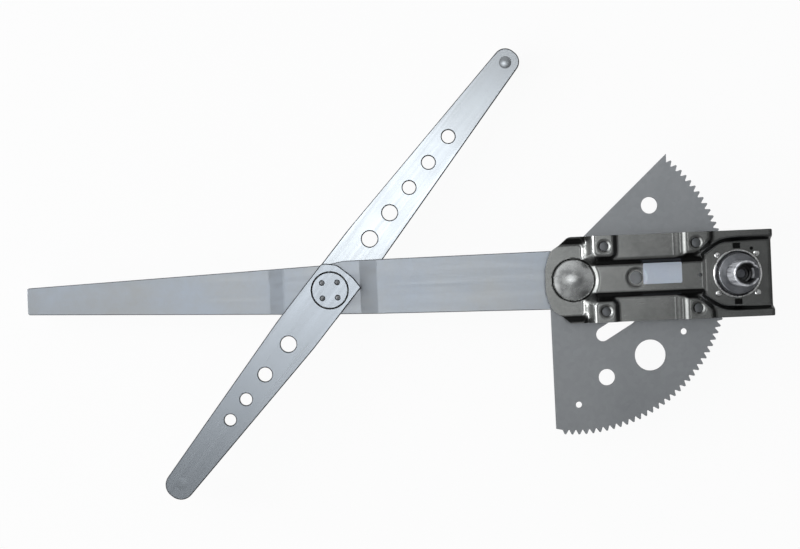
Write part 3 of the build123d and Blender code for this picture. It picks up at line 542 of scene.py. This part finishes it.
# Half width of the floor round the crank: strip width, then a flare, then full width
def floorHalfWidth(x, p):
    def bend(t):
        return 0.5 * (t + np.sqrt(t * t + p["flareRound"]))

    def blend(t):
        return np.clip((t + p["flareLead"]) / p["flareBlend"], 0, 1)

    slope = (p["floorHalf"] - p["stripHalf"]) / (p["flareEnd"] - p["flareStart"])
    half = p["stripHalf"] + slope * (bend(x - p["flareStart"]) - bend(x - p["flareEnd"]))
    steep = slope * blend(x - p["flareStart"]) * blend(p["flareEnd"] - x)
    return half, 1 / np.sqrt(1 + steep**2)


# Height of the plate at (x, y) from the main pivot: the lips' level, lowered by pockets with leaning walls
# and raised by pads. With a shift and a drop it gives the underside of the same sheet.
def plateHeight(x, y, p, shift=0.0, drop=0.0):
    side = np.abs(y)
    rise = 1 / math.tan(math.radians(p["wallLean"]))

    def pocket(distance, depth, foot):
        return softMax((distance - shift) * rise, 0.0, foot) - depth

    ringBox = rectDistance(x, y, p["farLeft"], p["ringRight"], -p["ringHalf"], p["ringHalf"], p["ringCorner"])
    ringDistance = softMin(ringBox, np.hypot(x, y) - p["ringRadius"], p["ringBlend"])
    stripDistance = np.maximum(np.maximum(side - p["stripHalf"], p["stripStart"] - x), x - p["stepToFloor"])
    half, lean = floorHalfWidth(x, p)
    floorDistance = np.maximum((side - half) * lean, (p["stepToFloor"] - x) / rise * p["stepSteep"])
    valleyDistance = rectDistance(
        x, side, p["valleyLeft"], p["valleyRight"], p["valleyInner"], p["farOut"], p["valleyCorner"],
    )
    z = np.full_like(x, -p["lip"])
    for distance, depth, foot, bend in (
        (ringDistance, p["ring"], p["foot"], p["bend"]), (stripDistance, p["strip"], p["foot"], p["bend"]),
        (floorDistance, p["floor"], p["floorFoot"], p["floorBend"]),
        (valleyDistance, p["valley"], p["foot"], p["bend"]),
    ):
        z = softMin(z, pocket(distance, depth, foot), bend)
    left, right = p["leftPad"]
    leftPad = rectDistance(x, side, left, right, p["padInner"], p["farOut"], p["leftPadCorner"])
    left, right = p["rightPad"]
    rightPad = rectDistance(x, side, left, right, p["padInner"], p["farOut"], p["rightPadCorner"])
    (cutX, cutY), (acrossX, acrossY) = p["padCut"], p["padCutAcross"]
    corner = ((x - right + cutX) * acrossX - (side - p["padInner"] - cutY) * acrossY) + p["padCutShift"]
    rightPad = softMax(rightPad, corner, p["padCutBlend"])
    reach = np.linspace(-p["rampSoft"], p["rampSoft"], p["rampSamples"])[:, None, None]
    rampX, rampZ = np.array(p["ramp"]).T
    ramp = np.interp(x + reach, rampX, rampZ).mean(0)
    leftTop = softMin(np.zeros_like(x), -(leftPad + shift) * rise, p["bend"])
    rightTop = softMin(ramp, -(rightPad + shift) * rise, p["bend"])
    z = softMax(z, leftTop, p["foot"])
    z = softMax(z, np.where(x > p["rightPadFrom"], rightTop, p["nothing"]), p["foot"])
    away = np.hypot(x, y)
    recessWall = softMax((away - p["recessRadius"] - shift) * p["recessSteep"], 0.0, p["recessBend"])
    z = softMin(z, recessWall - p["recess"], p["recessBend"])
    dish = np.hypot(x - p["dishX"], y)
    dished = (dish - p["dishRadius"]) * p["dishSlope"] - p["strip"]
    lowered = softMin(z, np.maximum(dished, -p["strip"] - p["dishDepth"]), p["dishBend"])
    z = np.where(dish < p["dishRadius"] + p["dishMargin"], lowered, z)
    for boltX, boltY in p["bolts"]:
        bolt = np.hypot(x - boltX, side - boltY)
        edge = (bolt - p["boltRadius"] - p["boltDish"]) * p["dishSlope"]
        lowered = softMin(z, np.maximum(edge, -p["boltDish"] - p["boltExtra"]), p["boltBend"])
        z = np.where(bolt < p["boltReach"], lowered, z)
    length, fall = p["endBend"]
    z = z - fall * np.clip((x - p["rightEnd"] + length) / length, 0, 1) ** 2
    return z - drop


# Half width of the outline at x: an arc-like left end, then straight
def outlineHalf(x, p):
    return np.interp(x, *np.array(p["outline"]).T)


# Top and underside on one grid of places, joined by a wall along the outline
def closedSheet(name, gridX, gridY, top, under, sharpAngle):
    columns, rows = gridX.shape
    points = np.concatenate([
        np.stack([gridX + pivotX, gridY, top], -1).reshape(-1, 3),
        np.stack([gridX + pivotX, gridY, under], -1).reshape(-1, 3),
    ])
    quads = gridQuads(columns, rows)
    count = columns * rows
    number = np.arange(count).reshape(columns, rows)
    loop = np.concatenate([number[:, 0], number[-1, 1:], number[-2::-1, -1], number[0, -2:0:-1]])
    after = np.roll(loop, -1)
    wall = np.stack([loop, after, after + count, loop + count], -1)
    faces = np.concatenate([quads, quads[:, ::-1] + count, wall])
    return meshPiece(name, points, faces, sharpAngle)


# The plate: columns along x, rows across
def makeBasePlate(p):
    across = int(2 * p["halfWidth"] / p["gridStep"]) + 1
    ends = 1 - np.cos(np.linspace(0, math.pi / 2, p["endColumns"]))
    x = np.concatenate([
        p["leftEnd"] + ends[:-1] * p["endReach"],
        np.arange(p["leftEnd"] + p["endReach"], p["rightEnd"] - 2 * p["lastStep"], p["gridStep"]),
        [p["rightEnd"] - p["lastStep"], p["rightEnd"]],
    ])
    v = np.linspace(-1, 1, across)
    gridX = np.repeat(x[:, None], across, 1)
    gridY = v[None, :] * outlineHalf(x, p)[:, None]
    lean = math.radians(p["wallLean"])
    wallShift = p["sheet"] * (1 - math.sin(lean)) / math.cos(lean)
    top = plateHeight(gridX, gridY, p)
    under = plateHeight(gridX, gridY, p, wallShift, p["sheet"])
    return closedSheet("base_plate_sheet", gridX, gridY, top, under, p["sharpAngle"])


# Upright cutters for round holes and slots, joined into one object
def holeCutters(shapes, depth=60, segments=64):
    work = bmesh.new()
    for x, y, radius, size in shapes:
        if radius:
            made = bmesh.ops.create_cone(
                work, cap_ends=True, segments=segments, depth=depth * mm,
                radius1=radius * mm, radius2=radius * mm,
            )
        else:
            made = bmesh.ops.create_cube(work, size=1)
            bmesh.ops.scale(work, vec=(size[0] * mm, size[1] * mm, depth * mm), verts=made["verts"])
        bmesh.ops.translate(work, vec=((x + pivotX) * mm, y * mm, 0), verts=made["verts"])
    mesh = bpy.data.meshes.new("cutters")
    work.to_mesh(mesh)
    work.free()
    cutter = bpy.data.objects.new("cutters", mesh)
    bpy.context.scene.collection.objects.link(cutter)
    return cutter


# The cutters are taken from the piece, and its mesh is replaced by the result
def cutAway(piece, cutter):
    change = piece.modifiers.new("holes", "BOOLEAN")
    change.operation = "DIFFERENCE"
    change.solver = "EXACT"
    change.object = cutter
    graph = bpy.context.evaluated_depsgraph_get()
    result = bpy.data.meshes.new_from_object(piece.evaluated_get(graph))
    piece.modifiers.remove(change)
    piece.data = result
    bpy.data.objects.remove(cutter)


def plateHoles(p):
    spindle = spindleX - pivotX
    shapes = [
        (p["dishX"], 0, p["dishHole"], None), (p["locatingX"], 0, p["locatingRadius"], None),
        (spindle, 0, p["drumHole"], None),
    ]
    shapes += [(x, side * y, p["boltRadius"], None) for x, y in p["bolts"] for side in (1, -1)]
    shapes += [(spindle, side * p["notchOffset"], 0, p["notch"]) for side in (1, -1)]
    radius, angle, reach = p["smallHole"]
    turn = math.radians(angle)
    shapes.append((spindle + reach * math.cos(turn), reach * math.sin(turn), radius, None))
    return holeCutters(shapes)


plateSheet = makeBasePlate(basePlate)
cutAway(plateSheet, plateHoles(basePlate))
smoothed(plateSheet, basePlate["sharpAngle"])
fitted(plateSheet, "base", "plate_steel", plateSteel, "base_plate")

label = {
    "left": 54.6, "right": 85.2, "low": -5.4, "high": 11.0, "corner": 1.2, "thickness": 0.12, "gap": 0.02,
    "sag": 0.35, "rows": 24, "columns": 40, "endColumns": 7, "endReach": 2,
}


# Blank film label: its ends are rounded by drawing the rows in, and it hangs a little into the dish
def makeLabel(p):
    ends = (1 - np.cos(np.linspace(0, math.pi / 2, p["endColumns"]))) * p["corner"]
    inner = np.linspace(p["left"] + p["endReach"], p["right"] - p["endReach"], p["columns"])
    x = np.concatenate([p["left"] + ends, inner, p["right"] - ends[::-1]])
    fromEnd = np.clip(np.minimum(x - p["left"], p["right"] - x), 0, p["corner"])
    drawn = p["corner"] - np.sqrt(np.maximum(p["corner"] ** 2 - (p["corner"] - fromEnd) ** 2, 0))
    v = np.linspace(0, 1, p["rows"])[None, :]
    low = (p["low"] + drawn)[:, None]
    high = (p["high"] - drawn)[:, None]
    gridX = np.repeat(x[:, None], p["rows"], 1)
    gridY = low + (high - low) * v
    sheet = plateHeight(gridX, gridY, basePlate)
    under = np.maximum(sheet, -basePlate["strip"] - p["sag"]) + p["gap"]
    return closedSheet("blank_label", gridX, gridY, under + p["thickness"], under, 40)


fitted(makeLabel(label), "base", "nylon", labelFilm)
print("label made")

collar = {"inner": 17.3, "outer": 19.2, "height": 1.7, "sunk": 0.4, "rollStep": 15}
floorTop = -basePlate["floor"]
rollTurn = np.radians(np.arange(0, 181, collar["rollStep"]))
rollRadius = (collar["outer"] - collar["inner"]) / 2
collarRing = turned("drum_collar_rim", np.concatenate([
    [(collar["outer"], floorTop - collar["sunk"])],
    np.stack([
        collar["inner"] + rollRadius * (1 + np.cos(rollTurn)),
        floorTop + collar["height"] - rollRadius * (1 - np.sin(rollTurn)),
    ], -1),
    [(collar["inner"], floorTop - basePlate["sheet"])],
]), spindleX, 0, closed=True, sharpAngle=60)
fitted(collarRing, "base", "plate_steel", paintedHighlightRimSteel)
print("base plate made")


# Domed rivet head and shank of the main pivot
pinLow = levelsOf("pivot_pin")[0]
pivotHead = {
    "radius": 15.5, "edge": 1.2, "rise": 3.4, "arcStart": 0.5, "arcPoints": 16, "wallGap": 0.2,
    "foot": (0.4, 0.5), "shank": 8.0, "tail": 11.0, "tailHeight": 1.8, "tailSlope": 0.8, "softness": 0.3,
}
headBottom = -basePlate["recess"]
domeRadius = (pivotHead["radius"] ** 2 + pivotHead["rise"] ** 2) / (2 * pivotHead["rise"])
arcR = np.linspace(pivotHead["radius"] - pivotHead["arcStart"], 0, pivotHead["arcPoints"])
arcZ = headBottom + pivotHead["edge"] + np.sqrt(domeRadius**2 - arcR**2) - (domeRadius - pivotHead["rise"])
tailTop = pinLow + pivotHead["tailHeight"]
footIn, footUp = pivotHead["foot"]
headProfile = np.concatenate([
    softened([
        (0, pinLow), (pivotHead["tail"] - pivotHead["tailSlope"], pinLow), (pivotHead["tail"], tailTop),
        (pivotHead["shank"], tailTop), (pivotHead["shank"], headBottom),
        (pivotHead["radius"] - footIn, headBottom), (pivotHead["radius"], headBottom + footUp),
        (pivotHead["radius"], arcZ[0] - pivotHead["wallGap"]),
    ], pivotHead["softness"], 3),
    np.stack([arcR, arcZ], -1),
])
pivotPiece = turned("pivot_head", headProfile, pivotX, 0, steps=128, sharpAngle=50)
fitted(pivotPiece, "base", "pin_steel", pinSteel, "pivot_pin")
print("pivot made")


# Flat sheet pieces keep the CAD outline, with eased edges
for node, name, edge, limited, body, slot, material in (
    ("lift_arm", "lift_arm_sheet", 0.6, False, "lift", "arm_steel", armSteel),
    ("sector_gear", "sector_sheet", 0.3, True, "lift", "sector_steel", sectorSteel),
    ("equalizer_front_half", "equalizer_front_sheet", 0.75, False, "equalizer", "equalizer_steel",
     equalizerSteel),
    ("equalizer_rear_half", "equalizer_rear_sheet", 0.9, False, "equalizer", "equalizer_steel",
     paintedHighlightEqualizerSteel),
    ("centre_hub", "hub_disc", 0.4, False, "equalizer", "equalizer_steel", equalizerSteel),
    ("brake_drum", "drum_cup", 0, True, "base", "drum_steel", drumSteel),
    ("crank_socket", "crank_tube", 0.8, True, "crank", "socket_chrome", socketChrome),
    ("pinion_bracket", "bracket_strap", 0.25, True, "base", "plate_steel", washerSteel),
    ("drum_rivets", "drum_rivet_shanks", 0.2, True, "base", "rivet_steel", rivetSteel),
    ("sector_rivets", "sector_rivet_heads", 0.2, True, "lift", "rivet_steel", rivetSteel),
):
    fitted(easedCopy(node, name, edge, limited), body, slot, material, node)
print("sheet pieces made")


# Low round domes at several places, one profile turned: z falls with the square of the distance
def domes(name, places, radius, rise, rings=9, spokes=32, skirtDepth=0.05):
    places = np.array(places, float)[:, None, None, :]
    across = np.linspace(0, 1, rings)[None, :, None]
    turn = np.linspace(0, 2 * math.pi, spokes, endpoint=False)[None, None, :]
    x = places[..., 0] + radius * across * np.cos(turn)
    y = places[..., 1] + radius * across * np.sin(turn)
    z = places[..., 2] + rise * (1 - across**2) + 0 * turn
    top = np.stack(np.broadcast_arrays(x, y, z), -1)
    skirt = top[:, -1:] - (0, 0, skirtDepth)
    closing = skirt.mean(2, keepdims=True) + 0 * skirt
    points = np.concatenate([top, skirt, closing], 1)
    count, lines, columns, _ = points.shape
    one = gridQuads(lines, columns, False, True)
    steps = lines * columns * np.arange(count)[:, None, None]
    return meshPiece(name, points, (one + steps).reshape(-1, 4), 50)


stake = {"reach": 8.6, "turn": 45.1, "sunk": 0.5, "radius": 1.45, "rise": 0.4}
collarRivet = {"reach": 21.8, "raised": 0.35, "radius": 2.3, "rise": 1.0}
pinMarkRadius = 4.75

hubTop = levelsOf("centre_hub")[1]
stakeTurn = np.radians(stake["turn"] + 90 * np.arange(4))
stakePlaces = [
    (hubX + stake["reach"] * math.cos(t), stake["reach"] * math.sin(t), hubTop - stake["sunk"])
    for t in stakeTurn
]
stakeDomes = domes("hub_stake_domes", stakePlaces, stake["radius"], stake["rise"])
# The stake domes take the darker washer steel: painted shade in the hub's stake dimples.
fitted(stakeDomes, "equalizer", "equalizer_steel", washerSteel)
for end, rise, body, slot, material in (
    ("lift", 0.05, "lift", "arm_steel", armSteel),
    ("upper", 0.5, "equalizer", "equalizer_steel", paintedHighlightEqualizerSteel),
    ("lower", 0.05, "equalizer", "equalizer_steel", equalizerSteel),
):
    x, y, _ = middleOf(end + "_roller_pin")
    top = levelsOf(end + "_roller_pin")[1]
    fitted(domes(end + "_pin_mark", [(x, y, top)], pinMarkRadius, rise), body, slot, material)
rivetOut = collarRivet["reach"] / math.sqrt(2)
rivetBottom = floorTop + collarRivet["raised"]
rivetPlaces = [(spindleX + a * rivetOut, b * rivetOut, rivetBottom) for a in (1, -1) for b in (1, -1)]
rivetDomes = domes("drum_rivet_heads", rivetPlaces, collarRivet["radius"], collarRivet["rise"])
fitted(rivetDomes, "base", "rivet_steel", paintedGlintRivetSteel)
print("domes made")

# The other CAD pieces keep their mesh and get their finish
# The crank shaft takes the dark spring steel so that its end inside the socket reads dark: painted shade.
for node, material in {
    "pivot_washer_front": washerSteel, "pivot_washer_rear": washerSteel, "centre_bush_front": bushNylon,
    "centre_bush_rear": bushNylon, "lift_roller": rollerNylon, "upper_roller": rollerNylon,
    "lower_roller": rollerNylon, "lift_roller_pin": armSteel, "upper_roller_pin": paintedHighlightEqualizerSteel,
    "lower_roller_pin": equalizerSteel, "crank_shaft": springSteel, "shaft_circlip": springSteel,
    "pinion": pinionSteel, "brake_spring": springSteel, "shaft_bearing": bearingBronze,
}.items():
    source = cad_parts[node]
    for place in source.material_slots:
        place.material = material
print("finishes set")


# Floor and light. The sky's rows are (from, to, level at from, level at to).
studio = {
    "floorSize": 3.0, "floorWhite": 0.93, "floorColour": (0.82, 0.82, 0.82, 1), "floorRoughness": 0.9,
    "floorGap": 0.05, "skyColour": (0.97, 0.985, 1, 1),
    "skyCentre": (-0.03, 0.05, 0), "skyScale": (0.8, 1.3, 0),
    "core": (0.02, 0.122, 3.5, 0), "shoulder": (0.16, 0.262, 1.0, 0.24), "rightDrop": (0.1, 0.34, 1, 0.45),
    "brim": (0.33, 0.6, 0, 0.34), "brimAcross": (-0.5, 0.15, 0.1, 1.1),
    "sideLevel": (-0.8, -0.3, 4.5, 0.36), "overhead": (0.34, 0.66, 0, 1),
    "leftLamp": ((-1.6, 0.15, 0.22), 0.4, 10.0),
}


def whiteShare(tree, share):
    path = tree.nodes.new("ShaderNodeLightPath")
    seen = combined(tree, path.outputs["Is Camera Ray"], path.outputs["Is Glossy Ray"], "MAXIMUM")
    seen = combined(tree, seen, path.outputs["Is Transmission Ray"], "MAXIMUM")
    return combined(tree, seen, share, "MULTIPLY")


floorMaterial = bpy.data.materials.new("paleFloor")
floorMaterial.use_nodes = True
floorTree = floorMaterial.node_tree
floorShader = floorTree.nodes["Principled BSDF"]
floorShader.inputs["Base Color"].default_value = studio["floorColour"]
floorShader.inputs["Roughness"].default_value = studio["floorRoughness"]
glow = floorTree.nodes.new("ShaderNodeEmission")
mixed = floorTree.nodes.new("ShaderNodeMixShader")
floorTree.links.new(whiteShare(floorTree, studio["floorWhite"]), mixed.inputs["Fac"])
floorTree.links.new(floorShader.outputs["BSDF"], mixed.inputs[1])
floorTree.links.new(glow.outputs["Emission"], mixed.inputs[2])
floorTree.links.new(mixed.outputs["Shader"], floorTree.nodes["Material Output"].inputs["Surface"])
half = studio["floorSize"]
floorPoints = np.array([(-half, -half, 0), (half, -half, 0), (half, half, 0), (-half, half, 0)]) / mm
floorPoints[:, 2] = cadLow.z / mm - studio["floorGap"]
floorPiece = meshPiece("floor", floorPoints, np.array([[0, 1, 2, 3]]))
floorPiece.data.materials.append(floorMaterial)


def areaLamp(name, place, size, power, aim):
    light = bpy.data.lights.new(name, "AREA")
    light.shape = "DISK"
    light.size = size
    light.energy = power
    lamp = bpy.data.objects.new(name, light)
    lamp.location = place
    direction = np.array(aim) - np.array(place)
    lamp.rotation_mode = "QUATERNION"
    lamp.rotation_quaternion = Vector(direction).to_track_quat("-Z", "Y")
    bpy.context.scene.collection.objects.link(lamp)


areaLamp("leftLamp", *studio["leftLamp"], (0, 0, 0))

world = bpy.data.worlds.new("studio")
bpy.context.scene.world = world
world.use_nodes = True
worldTree = world.node_tree
background = worldTree.nodes["Background"]
background.inputs["Color"].default_value = studio["skyColour"]
place = worldTree.nodes.new("ShaderNodeTexCoord")
axes = worldTree.nodes.new("ShaderNodeSeparateXYZ")
worldTree.links.new(place.outputs["Generated"], axes.inputs["Vector"])
offset = worldTree.nodes.new("ShaderNodeVectorMath")
offset.operation = "SUBTRACT"
offset.inputs[1].default_value = studio["skyCentre"]
worldTree.links.new(place.outputs["Generated"], offset.inputs[0])
flatOffset = worldTree.nodes.new("ShaderNodeVectorMath")
flatOffset.operation = "MULTIPLY"
flatOffset.inputs[1].default_value = studio["skyScale"]
worldTree.links.new(offset.outputs["Vector"], flatOffset.inputs[0])
away = worldTree.nodes.new("ShaderNodeVectorMath")
away.operation = "LENGTH"
worldTree.links.new(flatOffset.outputs["Vector"], away.inputs[0])
core = spread(worldTree, away.outputs["Value"], *studio["core"])
ceiling = combined(worldTree, core, spread(worldTree, away.outputs["Value"], *studio["shoulder"]))
ceiling = combined(worldTree, ceiling, spread(worldTree, axes.outputs["X"], *studio["rightDrop"]), "MULTIPLY")
brim = spread(worldTree, away.outputs["Value"], *studio["brim"])
brim = combined(worldTree, brim, spread(worldTree, axes.outputs["Y"], *studio["brimAcross"]), "MULTIPLY")
ceiling = combined(worldTree, ceiling, brim)
sideLevel = spread(worldTree, axes.outputs["X"], *studio["sideLevel"])
overhead = spread(worldTree, axes.outputs["Z"], *studio["overhead"])
level = worldTree.nodes.new("ShaderNodeMix")
worldTree.links.new(overhead, level.inputs["Factor"])
worldTree.links.new(sideLevel, level.inputs["A"])
worldTree.links.new(ceiling, level.inputs["B"])
path = worldTree.nodes.new("ShaderNodeLightPath")
final = worldTree.nodes.new("ShaderNodeMix")
worldTree.links.new(path.outputs["Is Camera Ray"], final.inputs["Factor"])
worldTree.links.new(level.outputs["Result"], final.inputs["A"])
final.inputs["B"].default_value = 1
worldTree.links.new(final.outputs["Result"], background.inputs["Strength"])
bpy.context.scene.view_settings.view_transform = "Standard"
print("studio made")
